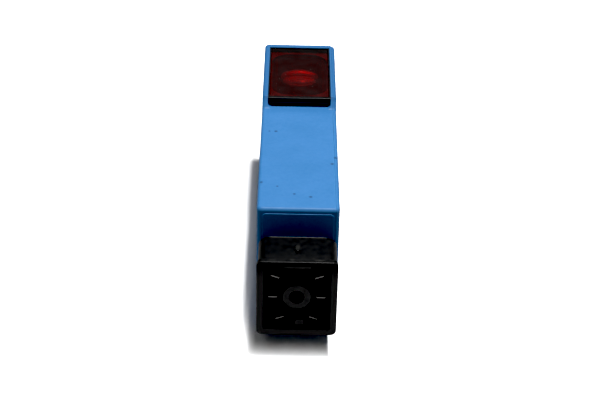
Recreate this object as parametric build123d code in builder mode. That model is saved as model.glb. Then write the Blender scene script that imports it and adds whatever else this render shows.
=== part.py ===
from build123d import *
import os

# A slim photoelectric sensor: blue two-part housing, red window over one lens, and a square
# plug with six flat blades round a threaded boss.
#
# Millimetres. X runs across the width, Y runs from the plug to the lens end, and Z points out
# of the lens face. The sensor rests on its flat back at Z = 0, and the origin is in the middle
# of the box that holds it. Distances called "from the end face" start at the housing's
# plug-side end and run towards the lens end.

# ---------------------------------------------------------------- driving dimensions
housing_width = 17.6
housing_length = 75.5
housing_depth = 33.5
head_rise = 2.4
ramp_foot_from_end = 44.7
ramp_top_from_end = 46.8
end_pad_width = 15.2
end_pad_height = 0.12
wall = 1.6
cover_thickness = 0.9
edge_round = 0.8
corner_round = 1.1
cover_corner_round = 1.6

window_width = 14.8
window_length = 27.35
window_from_end = 46.0
pane_thickness = 1.1
lens_from_end = 61.0
lens_radius = 4.6

plug_reach = 10.4
neck_width = 16.6
neck_corner = 1.9
neck_bottom = 6.5
neck_top = 24.35
collar_width = 17.06
collar_bottom = 5.95
collar_top = 24.55
collar_thickness = 1.2
socket_width = 14.1
socket_height = 16.1
socket_centre_height = 15.4
socket_floor_from_mouth = 7.4

contact_centre_height = 14.5
upper_row_rise = 5.15
lower_row_drop = 5.35
blade_width = 2.1
blade_thickness = 0.55
blade_tip_from_mouth = 1.8
blade_tilt = 20.6

mounting_hole_radius = 2.15
mounting_hole_height = 4.8
mounting_holes_from_end = (14.0, 70.5)

adjuster_height = 19.5
selector_height = 12.5
indicator_height = 25.5
indicator_offset = 3.0
control_radius = 2.0
running_clearance = 0.05

# ---------------------------------------------------------------- worked out from them
half_width = housing_width / 2
end_face = plug_reach / 2 - housing_length / 2
far_face = end_face + housing_length
window_near = end_face + window_from_end
ramp_foot = end_face + ramp_foot_from_end
ramp_top = end_face + ramp_top_from_end
pad_face = end_face - end_pad_height
base_front = housing_depth - head_rise
seam = half_width - cover_thickness
inner_front = base_front - wall
inner_near = end_face + wall
inner_far = far_face - wall
inner_left = -half_width + wall
mouth = end_face - plug_reach
lens_y = end_face + lens_from_end
window_far = window_near + window_length
mounting_holes = [end_face + distance for distance in mounting_holes_from_end]

os.makedirs("parts", exist_ok=True)


def save(part, name):
    """Label one finished piece and write its STEP file."""
    part.label = name
    export_step(part, f"parts/{name}.step")


def block(x, y, z, mode=Mode.ADD):
    """A box from its low and high limits along each axis, in the open part."""
    centre = ((x[0] + x[1]) / 2, (y[0] + y[1]) / 2, (z[0] + z[1]) / 2)
    with Locations(centre):
        Box(x[1] - x[0], y[1] - y[0], z[1] - z[0], mode=mode)


def rod_x(radius, x, y, z, mode=Mode.ADD):
    """A cylinder along X between two limits."""
    with Locations(Location(((x[0] + x[1]) / 2, y, z), (0, 90, 0))):
        Cylinder(radius, x[1] - x[0], mode=mode)


def rod_y(radius, x, y, z, mode=Mode.ADD):
    """A cylinder along Y between two limits."""
    with Locations(Location((x, (y[0] + y[1]) / 2, z), (90, 0, 0))):
        Cylinder(radius, y[1] - y[0], mode=mode)


def rod_z(radius, x, y, z, mode=Mode.ADD):
    """A cylinder along Z between two limits."""
    with Locations((x, y, (z[0] + z[1]) / 2)):
        Cylinder(radius, z[1] - z[0], mode=mode)


def across(y):
    """A sketch plane facing the plug end: its local axes are X and Z."""
    return Plane(origin=(0, y, 0), x_dir=(1, 0, 0), z_dir=(0, -1, 0))


# ---------------------------------------------------------------- housing
# The outside is one shape: a long base and a raised head that starts with a ramp. It is cut
# at the cover's seam.
ramp_foot_round = 1.2
pad_low = 4.0
pad_high = base_front - 1.25
pad_corner = 0.8
ramp_top_round = 0.3


def crosses(edge, y, z):
    """True for the straight edge that runs across the width at the given y and z."""
    centre = edge.center()
    return abs(centre.X) < 1 and abs(centre.Y - y) < 0.01 and abs(centre.Z - z) < 0.01


with BuildPart() as housing_body:
    with BuildSketch(Plane.YZ.offset(-half_width)):
        Polygon((end_face, 0), (end_face, base_front), (ramp_foot, base_front),
                (ramp_top, housing_depth), (far_face, housing_depth), (far_face, 0), align=None)
    extrude(amount=housing_width)
    fillet(housing_body.edges().filter_by(lambda edge: crosses(edge, ramp_foot, base_front)),
           ramp_foot_round)
    fillet(housing_body.edges().filter_by(Axis.Z).group_by(Axis.Y)[0], corner_round)
    fillet(housing_body.edges().filter_by(Axis.Z).group_by(Axis.Y)[-1].sort_by(Axis.X)[0],
           corner_round)
    fillet(housing_body.edges().filter_by(Axis.Z).group_by(Axis.Y)[-1].sort_by(Axis.X)[-1],
           cover_corner_round)
    back_rim = housing_body.faces().sort_by(Axis.Z)[0].edges()
    front_edges = housing_body.edges().filter_by(lambda edge: edge.center().Z > base_front - 0.01)
    # every front edge is rounded but the three that cross the middle
    outer_edges = front_edges.filter_by(
        lambda edge: abs(edge.center().X) > 1 or abs(edge.center().Y) > 20)
    fillet(back_rim + outer_edges, edge_round)
    fillet(housing_body.edges().filter_by(lambda edge: crosses(edge, ramp_top, housing_depth)),
           ramp_top_round)
    # raised pad that the plug sits on
    with BuildSketch(across(end_face)):
        with Locations((0, (pad_low + pad_high) / 2)):
            RectangleRounded(end_pad_width, pad_high - pad_low, pad_corner)
    extrude(amount=end_pad_height)
    fillet(housing_body.faces().sort_by(Axis.Y)[0].edges(), end_pad_height * 0.8)

slot_half = window_width / 2 + running_clearance
slot_corner = 1.0
opening_half = 5.4
opening_near = lens_y - 10.6
opening_far = lens_y + 10.6
tube_radius = 3.65
pocket_corner = 1.0
bore_radius = control_radius + running_clearance
bore_boss_radius = 3.2
bore_boss_length = 1.6
guide_radius = 1.25
panel_depth = 0.25
panel_near = end_face + 8
panel_far = ramp_foot - 2
panel_low = 8.5
panel_high = base_front - 4
spigot_half_width = 6.7
spigot_low = 7.9
spigot_high = 22.9
seam_break = 0.12
hole_chamfer = 0.35
screw_posts = [(end_face + 22.0, 5.6), (end_face + 45.0, 25.6)]
post_radius = 2.0
pilot_radius = 0.8
board_left = -6.4
board_thickness = 1.0
board_face = board_left + board_thickness


def hole_rims(piece):
    """The round edges of the mounting holes."""
    return (piece.edges().filter_by(GeomType.CIRCLE)
            .filter_by(lambda edge: abs(edge.radius - mounting_hole_radius) < 0.01))


with BuildPart() as housing_shell:
    add(housing_body.part)
    split(bisect_by=Plane.YZ.offset(seam), keep=Keep.BOTTOM)
    # the pocket for the electronics is open towards the cover
    with BuildSketch(Plane.YZ.offset(inner_left)):
        with Locations(((inner_near + inner_far) / 2, (wall + inner_front) / 2)):
            RectangleRounded(inner_far - inner_near, inner_front - wall, pocket_corner)
    extrude(amount=seam - inner_left, mode=Mode.SUBTRACT)
    # the slot for the window frame cuts through the ramp, with rounded lower corners
    with BuildSketch(across(ramp_foot - ramp_foot_round)) as slot_profile:
        with Locations((0, base_front + housing_depth / 2)):
            Rectangle(2 * slot_half, housing_depth)
        fillet(slot_profile.vertices().group_by(Axis.Y)[0], slot_corner)
    extrude(amount=-(window_far - ramp_foot + ramp_foot_round), mode=Mode.SUBTRACT)
    block((-opening_half, opening_half), (opening_near, opening_far),
          (inner_front - 1, base_front + 1), mode=Mode.SUBTRACT)
    # tubes round the mounting holes
    for hole_y in mounting_holes:
        rod_x(tube_radius, (inner_left - 0.5, seam), hole_y, mounting_hole_height)
    for hole_y in mounting_holes:
        rod_x(mounting_hole_radius, (-half_width - 1, seam + 1), hole_y, mounting_hole_height,
              mode=Mode.SUBTRACT)
    # bores for the two controls and holes for the two light guides
    for height in (adjuster_height, selector_height):
        rod_y(bore_boss_radius, 0, (inner_far - bore_boss_length, inner_far + 0.5), height)
    for height in (adjuster_height, selector_height):
        rod_y(bore_radius, 0, (inner_far - 3, far_face + 1), height, mode=Mode.SUBTRACT)
    for side in (-1, 1):
        rod_y(guide_radius + running_clearance, side * indicator_offset,
              (inner_far - 1, far_face + 1), indicator_height, mode=Mode.SUBTRACT)
    # opening for the plug in the end wall
    block((-spigot_half_width - running_clearance, spigot_half_width + running_clearance),
          (pad_face - 1, inner_near + 1),
          (spigot_low - running_clearance, spigot_high + running_clearance), mode=Mode.SUBTRACT)
    # posts for the main board
    for post_y, post_z in screw_posts:
        rod_x(post_radius, (inner_left - 0.5, board_left), post_y, post_z)
    for post_y, post_z in screw_posts:
        rod_x(pilot_radius, (inner_left - 1, board_left + 1), post_y, post_z, mode=Mode.SUBTRACT)
    # shallow panel on the outside
    with BuildSketch(Plane.YZ.offset(-half_width)):
        with Locations(((panel_near + panel_far) / 2, (panel_low + panel_high) / 2)):
            RectangleRounded(panel_far - panel_near, panel_high - panel_low, 1.2)
    extrude(amount=panel_depth, mode=Mode.SUBTRACT)
    chamfer(hole_rims(housing_shell).group_by(Axis.X)[0], hole_chamfer)
save(housing_shell.part, "housing_shell")

rim_gap = 0.1
rim_thickness = 1.0
rim_depth = 1.2
with BuildPart() as side_cover:
    add(housing_body.part)
    split(bisect_by=Plane.YZ.offset(seam), keep=Keep.TOP)
    chamfer(side_cover.faces().sort_by(Axis.X)[0].edges(), seam_break)
    # the rim that locates the cover in the pocket, cut away round the mounting tubes
    with BuildSketch(Plane.YZ.offset(seam - rim_depth)):
        with Locations(((inner_near + inner_far) / 2, (wall + inner_front) / 2)):
            RectangleRounded(inner_far - inner_near - 2 * rim_gap,
                             inner_front - wall - 2 * rim_gap, pocket_corner)
            RectangleRounded(inner_far - inner_near - 2 * (rim_gap + rim_thickness),
                             inner_front - wall - 2 * (rim_gap + rim_thickness),
                             pocket_corner, mode=Mode.SUBTRACT)
    extrude(amount=rim_depth)
    for hole_y in mounting_holes:
        rod_x(tube_radius + rim_gap, (seam - rim_depth - 1, seam), hole_y, mounting_hole_height,
              mode=Mode.SUBTRACT)
        rod_x(mounting_hole_radius, (seam - 1, half_width + 1), hole_y, mounting_hole_height,
              mode=Mode.SUBTRACT)
    with BuildSketch(Plane.YZ.offset(half_width)):
        with Locations(((panel_near + panel_far) / 2, (panel_low + panel_high) / 2)):
            RectangleRounded(panel_far - panel_near, panel_high - panel_low, 1.2)
    extrude(amount=-panel_depth, mode=Mode.SUBTRACT)
    chamfer(hole_rims(side_cover).group_by(Axis.X)[-1], hole_chamfer)
save(side_cover.part, "side_cover")

# ---------------------------------------------------------------- window
frame_top = housing_depth - 0.1
frame_far = window_far - running_clearance
frame_foot = inner_front - 0.6
foot_half = opening_half - 0.1
pane_half = window_width / 2 - 0.3
pane_near = window_near + 0.9
pane_far = frame_far - 0.15
pane_top = frame_top - 0.1
pane_bottom = pane_top - pane_thickness
pane_corner = 0.4
pane_gap = 0.05
aperture_half = pane_half - 0.25
aperture_near = end_face + 49.9
aperture_far = end_face + 72.2
aperture_corner = 4.5
aperture_floor = base_front + 0.1
window_seal_depth = 0.5
window_seal_half_width = 6.1
window_seal_half_length = 11.3
window_seal_inner_width = 5.5
window_seal_inner_length = 10.65
window_seal_corner = 0.6
window_seal_gap = 0.03
lens_hole_gap = 0.02
lens_flange_radius = lens_radius + 0.4
lens_flange_top = base_front - 0.55
lens_flange_thickness = 0.6
retainer_height = 1.0

with BuildPart() as window_frame:
    with BuildSketch(across(frame_far)) as frame_profile:
        with Locations((0, (base_front + frame_top) / 2)):
            Rectangle(window_width, frame_top - base_front)
        chamfer(frame_profile.vertices().group_by(Axis.Y)[0], slot_corner)
    extrude(amount=frame_far - window_near)
    fillet(window_frame.faces().sort_by(Axis.Y)[0].edges().sort_by(Axis.Z)[-1], 0.25)
    block((-foot_half, foot_half), (opening_near + 0.1, opening_far - 0.1),
          (frame_foot, base_front))
    # seat for the pane, then the dark aperture under it with large corner radii
    with BuildSketch(Plane.XY.offset(frame_top)):
        with Locations((0, (pane_near + pane_far) / 2)):
            RectangleRounded(2 * pane_half, pane_far - pane_near, pane_corner)
    extrude(amount=-(frame_top - pane_bottom), mode=Mode.SUBTRACT)
    with BuildSketch(Plane.XY.offset(pane_bottom)):
        with Locations((0, (aperture_near + aperture_far) / 2)):
            RectangleRounded(2 * aperture_half, aperture_far - aperture_near, aperture_corner)
    extrude(amount=-(pane_bottom - aperture_floor), mode=Mode.SUBTRACT)
    # stepped hole for the lens and its retaining ring
    rod_z(lens_radius + lens_hole_gap, 0, lens_y, (frame_foot - 1, aperture_floor + 1),
          mode=Mode.SUBTRACT)
    rod_z(lens_flange_radius + lens_hole_gap, 0, lens_y,
          (frame_foot - 1, lens_flange_top + lens_hole_gap), mode=Mode.SUBTRACT)
    # groove for the window seal
    with BuildSketch(Plane.XY.offset(base_front)):
        with Locations((0, lens_y)):
            RectangleRounded(2 * window_seal_half_width, 2 * window_seal_half_length,
                             window_seal_corner)
            Rectangle(2 * foot_half, opening_far - opening_near - 0.2, mode=Mode.SUBTRACT)
    extrude(amount=window_seal_depth, mode=Mode.SUBTRACT)
save(window_frame.part, "window_frame")

with BuildPart() as window_seal:
    with BuildSketch(Plane.XY.offset(base_front)):
        with Locations((0, lens_y)):
            RectangleRounded(2 * (window_seal_half_width - window_seal_gap),
                             2 * (window_seal_half_length - window_seal_gap),
                             window_seal_corner - window_seal_gap)
            RectangleRounded(2 * window_seal_inner_width, 2 * window_seal_inner_length,
                             window_seal_corner - 0.2, mode=Mode.SUBTRACT)
    extrude(amount=window_seal_depth - window_seal_gap)
save(window_seal.part, "window_seal")

with BuildPart() as window_pane:
    with BuildSketch(Plane.XY.offset(pane_bottom)):
        with Locations((0, (pane_near + pane_far) / 2)):
            RectangleRounded(2 * (pane_half - pane_gap), pane_far - pane_near - 2 * pane_gap,
                             pane_corner - pane_gap)
    extrude(amount=pane_thickness)
    chamfer(window_pane.faces().sort_by(Axis.Z)[-1].edges(), 0.12)
save(window_pane.part, "window_pane")

# ---------------------------------------------------------------- optics
dome_base = base_front + 0.25
dome_height = 0.85
with BuildPart() as front_lens:
    with BuildSketch(across(lens_y)):
        with BuildLine():
            Polyline((0, lens_flange_top - lens_flange_thickness),
                     (lens_flange_radius, lens_flange_top - lens_flange_thickness),
                     (lens_flange_radius, lens_flange_top),
                     (lens_radius, lens_flange_top),
                     (lens_radius, dome_base))
            RadiusArc((lens_radius, dome_base), (0, dome_base + dome_height),
                      -(lens_radius**2 + dome_height**2) / (2 * dome_height))
            Line((0, dome_base + dome_height), (0, lens_flange_top - lens_flange_thickness))
        make_face()
    revolve(axis=Axis((0, lens_y, 0), (0, 0, 1)))
save(front_lens.part, "front_lens")

retainer_top = lens_flange_top - lens_flange_thickness
with BuildPart() as lens_retainer:
    rod_z(lens_flange_radius, 0, lens_y, (retainer_top - retainer_height, retainer_top))
    rod_z(lens_radius - 0.5, 0, lens_y, (retainer_top - 2, retainer_top + 1),
          mode=Mode.SUBTRACT)
save(lens_retainer.part, "lens_retainer")

carrier_half = 5.8
carrier_near = lens_y - 7.8
carrier_far = lens_y + 5.6
carrier_bottom = 9.5
carrier_top = frame_foot - 0.1
shaft_half = 4.2
shaft_bottom = 14.0
splitter_height = 20.0
splitter_half = 4.6
splitter_length = 10.4
splitter_thickness = 1.0
filter_half = 4.7
filter_seat = carrier_top - 0.8
led_radius = 1.5
lead_radius = 0.25
lead_offset = 1.27
diode_half_width = 2.2
diode_near = carrier_near
diode_far = carrier_near + 2.0
diode_low = 17.8
diode_high = 22.2
optics_screw_x = 4.5
optics_screw_y = lens_y + 4.85
optics_screw_radius = 0.6
splitter_tilt = 45
splitter_place = Location((0, lens_y, splitter_height), (splitter_tilt, 0, 0))

with BuildPart() as optics_carrier:
    block((-carrier_half, carrier_half), (carrier_near, carrier_far),
          (carrier_bottom, carrier_top))
    fillet(optics_carrier.edges().filter_by(Axis.Z), 0.6)
    block((-shaft_half, shaft_half), (lens_y - shaft_half, lens_y + shaft_half),
          (shaft_bottom, carrier_top + 1), mode=Mode.SUBTRACT)
    block((-filter_half, filter_half), (lens_y - filter_half, lens_y + filter_half),
          (filter_seat, carrier_top + 1), mode=Mode.SUBTRACT)
    rod_z(led_radius + 0.3, 0, lens_y, (carrier_bottom - 1, shaft_bottom + 1),
          mode=Mode.SUBTRACT)
    # grooves that hold the beam splitter
    with Locations(splitter_place):
        Box(2 * splitter_half + 0.1, splitter_length + 0.1, splitter_thickness + 0.1,
            mode=Mode.SUBTRACT)
    # pocket and light hole for the photodiode, and a channel for its leads
    block((-diode_half_width - 0.05, diode_half_width + 0.05), (diode_near - 1, diode_far + 0.05),
          (diode_low - 0.05, diode_high + 0.05), mode=Mode.SUBTRACT)
    rod_y(1.9, 0, (diode_far - 0.5, lens_y - shaft_half + 0.5), splitter_height,
          mode=Mode.SUBTRACT)
    block((-1.9, 1.9), (diode_near - 1, diode_near + 1.4), (carrier_bottom - 1, diode_low),
          mode=Mode.SUBTRACT)
    for side in (-1, 1):
        rod_z(optics_screw_radius, side * optics_screw_x, optics_screw_y,
              (carrier_bottom - 1, carrier_bottom + 4), mode=Mode.SUBTRACT)
save(optics_carrier.part, "optics_carrier")

with BuildPart() as polarising_filter:
    block((-filter_half + 0.05, filter_half - 0.05),
          (lens_y - filter_half + 0.05, lens_y + filter_half - 0.05),
          (filter_seat, filter_seat + 0.6))
    chamfer(polarising_filter.edges().filter_by(Axis.Z).group_by(Axis.Y)[-1], 0.8)
save(polarising_filter.part, "polarising_filter")

with BuildPart() as beam_splitter:
    with Locations(splitter_place):
        Box(2 * splitter_half, splitter_length, splitter_thickness)
save(beam_splitter.part, "beam_splitter")

optics_board_top = 9.4
optics_board_bottom = optics_board_top - board_thickness
with BuildPart() as emitter_led:
    rod_z(led_radius + 0.25, 0, lens_y, (optics_board_top + 0.1, optics_board_top + 0.8))
    rod_z(led_radius, 0, lens_y, (optics_board_top + 0.8, optics_board_top + 3.4))
    fillet(emitter_led.faces().sort_by(Axis.Z)[-1].edges(), led_radius - 0.1)
    for side in (-1, 1):
        rod_z(lead_radius, side * lead_offset, lens_y, (optics_board_top, optics_board_top + 0.4),
              mode=Mode.SUBTRACT)
save(emitter_led.part, "emitter_led")

lead_end = optics_board_bottom - 0.7
with BuildPart() as emitter_leads:
    for side in (-1, 1):
        rod_z(lead_radius, side * lead_offset, lens_y, (lead_end, optics_board_top + 0.4))
save(emitter_leads.part, "emitter_leads")

diode_lead_y = diode_near + 0.7
with BuildPart() as receiver_photodiode:
    block((-diode_half_width, diode_half_width), (diode_near, diode_far), (diode_low, diode_high))
    chamfer(receiver_photodiode.edges().filter_by(Axis.Z), 0.2)
    with Locations((0, diode_far, splitter_height)):
        Sphere(1.4)
save(receiver_photodiode.part, "receiver_photodiode")

with BuildPart() as receiver_leads:
    for side in (-1, 1):
        rod_z(lead_radius, side * lead_offset, diode_lead_y, (lead_end, diode_low))
save(receiver_leads.part, "receiver_leads")

shield_half = 3.3
shield_back = carrier_near - 0.6
shield_sheet = 0.3
shield_depth = 1.6
with BuildPart() as receiver_shield:
    block((-shield_half, shield_half), (shield_back, shield_back + shield_sheet),
          (optics_board_top, 23.5))
    for side in (-1, 1):
        flange = sorted((side * shield_half, side * (shield_half - shield_sheet)))
        block(flange, (shield_back - shield_depth, shield_back), (optics_board_top, 23.5))
save(receiver_shield.part, "receiver_shield")

# ---------------------------------------------------------------- boards
optics_board_half = 5.8
optics_board_near = lens_y - 10.6
optics_board_far = lens_y + 6.8
control_board_y = lens_y + 7.0
control_pins_y = lens_y + 6.25
control_pins_x = (-2.7, -0.9, 0.9, 2.7)
control_pins_z = 9.75
hole_allowance = 0.05

with BuildPart() as optics_board:
    block((-optics_board_half, optics_board_half), (optics_board_near, optics_board_far),
          (optics_board_bottom, optics_board_top))
    for side in (-1, 1):
        for lead_y in (lens_y, diode_lead_y):
            rod_z(lead_radius + hole_allowance, side * lead_offset, lead_y,
                  (optics_board_bottom - 1, optics_board_top + 1), mode=Mode.SUBTRACT)
        rod_z(optics_screw_radius + 0.1, side * optics_screw_x, optics_screw_y,
              (optics_board_bottom - 1, optics_board_top + 1), mode=Mode.SUBTRACT)
    for pin_x in control_pins_x:
        rod_z(lead_radius + hole_allowance, pin_x, control_pins_y,
              (optics_board_bottom - 1, optics_board_top + 1), mode=Mode.SUBTRACT)
save(optics_board.part, "optics_board")

with BuildPart() as optics_screws:
    for side in (-1, 1):
        screw_x = side * optics_screw_x
        rod_z(optics_screw_radius - 0.03, screw_x, optics_screw_y,
              (optics_board_bottom, carrier_bottom + 3.8))
        rod_z(1.1, screw_x, optics_screw_y, (optics_board_bottom - 0.8, optics_board_bottom))
        block((screw_x - 0.8, screw_x + 0.8), (optics_screw_y - 0.15, optics_screw_y + 0.15),
              (optics_board_bottom - 1, optics_board_bottom - 0.4), mode=Mode.SUBTRACT)
save(optics_screws.part, "optics_screws")

main_board_near = end_face + 9.8
main_board_far = end_face + 48.0
main_board_low = 3.0
main_board_high = 28.8
header_x = -2.0
header_pin_heights = [10.0 + 2.0 * step_number for step_number in range(6)]
header_pins_y = end_face + 11.2

with BuildPart() as main_board:
    block((board_left, board_face), (main_board_near, main_board_far),
          (main_board_low, main_board_high))
    # corner notch round the near mounting tube, then the screw and pin holes
    block((board_left - 1, board_face + 1), (main_board_near - 1, mounting_holes[0] + 4.1),
          (main_board_low - 1, mounting_hole_height + 4.1), mode=Mode.SUBTRACT)
    for post_y, post_z in screw_posts:
        rod_x(1.1, (board_left - 1, board_face + 1), post_y, post_z, mode=Mode.SUBTRACT)
    for pin_z in header_pin_heights:
        rod_x(lead_radius + hole_allowance, (board_left - 1, board_face + 1), header_pins_y,
              pin_z, mode=Mode.SUBTRACT)
save(main_board.part, "main_board")

with BuildPart() as board_screws:
    for post_y, post_z in screw_posts:
        rod_x(pilot_radius - 0.03, (inner_left - 0.9, board_face), post_y, post_z)
        rod_x(1.9, (board_face, board_face + 1.3), post_y, post_z)
    head_rims = board_screws.faces().group_by(Axis.X)[-1].edges()
    fillet(head_rims, 0.4)
    for post_y, post_z in screw_posts:
        recess = (board_face + 0.6, board_face + 2)
        block(recess, (post_y - 1.1, post_y + 1.1), (post_z - 0.22, post_z + 0.22),
              mode=Mode.SUBTRACT)
        block(recess, (post_y - 0.22, post_y + 0.22), (post_z - 1.1, post_z + 1.1),
              mode=Mode.SUBTRACT)
save(board_screws.part, "board_screws")

flex_sheet = 0.2
with BuildPart() as board_flex:
    block((board_face, board_face + flex_sheet), (main_board_far - 6, optics_board_near + 2.2),
          (optics_board_top, optics_board_top + 5))
    block((board_face, board_face + 1.8), (optics_board_near + 0.2, optics_board_near + 2.2),
          (optics_board_top, optics_board_top + flex_sheet))
save(board_flex.part, "board_flex")

control_board_half = 6.0
control_board_low = 9.0
control_board_high = 28.2
with BuildPart() as control_board:
    block((-control_board_half, control_board_half),
          (control_board_y, control_board_y + board_thickness),
          (control_board_low, control_board_high))
    for pin_x in control_pins_x:
        rod_y(lead_radius + hole_allowance, pin_x, (control_board_y - 1, control_board_y + 2),
              control_pins_z, mode=Mode.SUBTRACT)
save(control_board.part, "control_board")

with BuildPart() as control_pins:
    for pin_x in control_pins_x:
        rod_z(lead_radius, pin_x, control_pins_y, (lead_end, control_pins_z + lead_radius))
        rod_y(lead_radius, pin_x, (control_pins_y, control_board_y + board_thickness + 0.5),
              control_pins_z)
save(control_pins.part, "control_pins")

# ---------------------------------------------------------------- parts on the main board
chip_y = end_face + 33.0
chip_z = 15.5
chip_length = 9.9
chip_height = 3.9
chip_top = board_face + 1.75
chip_base = board_face + 0.15
lead_pitch = 1.27
lead_rows = 8
with BuildPart() as control_chip:
    block((chip_base, chip_top), (chip_y - chip_length / 2, chip_y + chip_length / 2),
          (chip_z - chip_height / 2, chip_z + chip_height / 2))
    chamfer(control_chip.faces().sort_by(Axis.X)[-1].edges(), 0.25)
    rod_x(0.4, (chip_top - 0.1, chip_top + 1), chip_y - 4.1, chip_z + 1.1, mode=Mode.SUBTRACT)
save(control_chip.part, "control_chip")

with BuildPart() as chip_leads:
    for number in range(lead_rows):
        lead_y = chip_y + (number - (lead_rows - 1) / 2) * lead_pitch
        for side in (-1, 1):
            edge = chip_z + side * chip_height / 2
            knee = edge + side * 0.5
            toe = edge + side * 1.1
            with BuildSketch(Plane(origin=(0, lead_y + 0.2, 0), x_dir=(1, 0, 0),
                                   z_dir=(0, -1, 0))):
                with BuildLine():
                    Polyline((board_face + 1.05, edge), (board_face + 1.05, knee),
                             (board_face + 0.2, knee), (board_face + 0.2, toe),
                             (board_face, toe), (board_face, knee - side * 0.2),
                             (board_face + 0.85, knee - side * 0.2), (board_face + 0.85, edge),
                             close=True)
                make_face()
            extrude(amount=0.4)
save(chip_leads.part, "chip_leads")


def seated(x, y, z, size):
    """A box of size (x, y, z) standing on the main board, centred at y, z."""
    block((x, x + size[0]), (y - size[1] / 2, y + size[1] / 2), (z - size[2] / 2, z + size[2] / 2))


with BuildPart() as output_transistors:
    for number in range(2):
        seated(board_face, end_face + 22.5, 14.0 + 8.5 * number, (1.7, 3.6, 6.4))
    chamfer(output_transistors.faces().group_by(Axis.X)[-1].edges(), 0.25)
save(output_transistors.part, "output_transistors")

with BuildPart() as suppressor_diodes:
    for number in range(3):
        seated(board_face, end_face + 16.5, 12.5 + 5.2 * number, (2.2, 3.6, 4.4))
    chamfer(suppressor_diodes.faces().group_by(Axis.X)[-1].edges(), 0.3)
save(suppressor_diodes.part, "suppressor_diodes")

capacitor_y = end_face + 31.0
capacitor_z = 24.2
with BuildPart() as filter_capacitor:
    rod_x(3.0, (board_face, board_face + 7.2), capacitor_y, capacitor_z)
    fillet(filter_capacitor.faces().sort_by(Axis.X)[-1].edges(), 0.4)
save(filter_capacitor.part, "filter_capacitor")

choke_y = end_face + 29.5
choke_z = 7.6
with BuildPart() as choke:
    rod_x(2.9, (board_face, board_face + 0.8), choke_y, choke_z)
    rod_x(1.6, (board_face + 0.8, board_face + 3.4), choke_y, choke_z)
    rod_x(2.9, (board_face + 3.4, board_face + 4.2), choke_y, choke_z)
save(choke.part, "choke")

with BuildPart() as choke_winding:
    rod_x(2.4, (board_face + 0.8, board_face + 3.4), choke_y, choke_z)
    rod_x(1.6, (board_face, board_face + 5), choke_y, choke_z, mode=Mode.SUBTRACT)
save(choke_winding.part, "choke_winding")

with BuildPart() as chip_capacitors:
    for number in range(5):
        seated(board_face, end_face + 36.5 + 2.3 * number, 6.5, (1.2, 1.3, 2.0))
    for number in range(3):
        seated(board_face, end_face + 41.5, 19.0 + 2.6 * number, (1.2, 2.0, 1.3))
save(chip_capacitors.part, "chip_capacitors")

with BuildPart() as chip_resistors:
    for number in range(6):
        seated(board_face, end_face + 33.8 + 1.4 * number, 9.6, (0.45, 0.8, 1.6))
    for number in range(4):
        seated(board_face, end_face + 45.0, 17.0 + 1.6 * number, (0.45, 1.6, 0.8))
save(chip_resistors.part, "chip_resistors")

# ---------------------------------------------------------------- controls at the far end
control_face = control_board_y + board_thickness
case_front = control_face + 2.5
shaft_radius = 1.2
shaft_end = control_face + 0.9
flange_radius = 2.6
flange_near = case_front + 0.15
flange_far = inner_far - bore_boss_length - 0.1
knob_near = inner_far
knob_far = far_face - 0.3
ring_section = 0.38
ring_centre_radius = shaft_radius + 0.03 + ring_section
case_half = 2.4


def control_case(height):
    """The square body of a rotary control, with a blind bore for its shaft."""
    with BuildPart() as case:
        block((-case_half, case_half), (control_face, case_front),
              (height - case_half, height + case_half))
        chamfer(case.faces().sort_by(Axis.Y)[-1].edges(), 0.25)
        rod_y(shaft_radius + running_clearance, 0, (shaft_end - 0.1, case_front + 1), height,
              mode=Mode.SUBTRACT)
    return case.part


def rotary_control(height, pointer):
    """A turning control: flange inside, shaft, and a slotted head flush in the far face."""
    with BuildPart() as control:
        rod_y(shaft_radius, 0, (shaft_end, knob_near), height)
        rod_y(flange_radius, 0, (flange_near, flange_far), height)
        rod_y(control_radius, 0, (knob_near, knob_far), height)
        chamfer(control.faces().sort_by(Axis.Y)[-1].edges(), 0.15)
        slot_depth = 0.8
        block((-0.3, 0.3), (knob_far - slot_depth, knob_far + 1),
              (height - 1.5, height + 1.5), mode=Mode.SUBTRACT)
        if pointer:
            # a wider notch at one end makes the slot a pointer
            with BuildSketch(across(knob_far)):
                with BuildLine():
                    Polyline((-0.75, height + 0.6), (0.75, height + 0.6), (0, height + 1.6),
                             close=True)
                make_face()
            extrude(amount=slot_depth, mode=Mode.SUBTRACT)
        else:
            block((-1.5, 1.5), (knob_far - slot_depth, knob_far + 1),
                  (height - 0.3, height + 0.3), mode=Mode.SUBTRACT)
    return control.part


save(control_case(adjuster_height), "sensitivity_potentiometer")
save(rotary_control(adjuster_height, pointer=False), "sensitivity_adjuster")
save(control_case(selector_height), "light_dark_switch")
save(rotary_control(selector_height, pointer=True), "light_dark_selector")

ring_y = inner_far - ring_section - 0.05
with BuildPart() as control_seals:
    for height in (adjuster_height, selector_height):
        with Locations(Location((0, ring_y, height), (90, 0, 0))):
            Torus(ring_centre_radius, ring_section)
save(control_seals.part, "control_seals")

lamp_height = 0.8


def indicator_lamp(side):
    """A small surface-mount lamp on the control board."""
    with BuildPart() as lamp:
        lamp_x = side * indicator_offset
        block((lamp_x - 1.0, lamp_x + 1.0), (control_face, control_face + lamp_height),
              (indicator_height - 0.65, indicator_height + 0.65))
        chamfer(lamp.faces().sort_by(Axis.Y)[-1].edges(), 0.2)
    return lamp.part


def light_guide(side):
    """A clear rod from a lamp to the far face, with a flange that stops inside the wall."""
    with BuildPart() as guide:
        guide_x = side * indicator_offset
        rod_y(guide_radius, guide_x, (control_face + lamp_height + 0.2, far_face - 0.05),
              indicator_height)
        fillet(guide.faces().sort_by(Axis.Y)[-1].edges(), 0.3)
        rod_y(guide_radius + 0.45, guide_x, (inner_far - 0.9, inner_far), indicator_height)
    return guide.part


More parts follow.
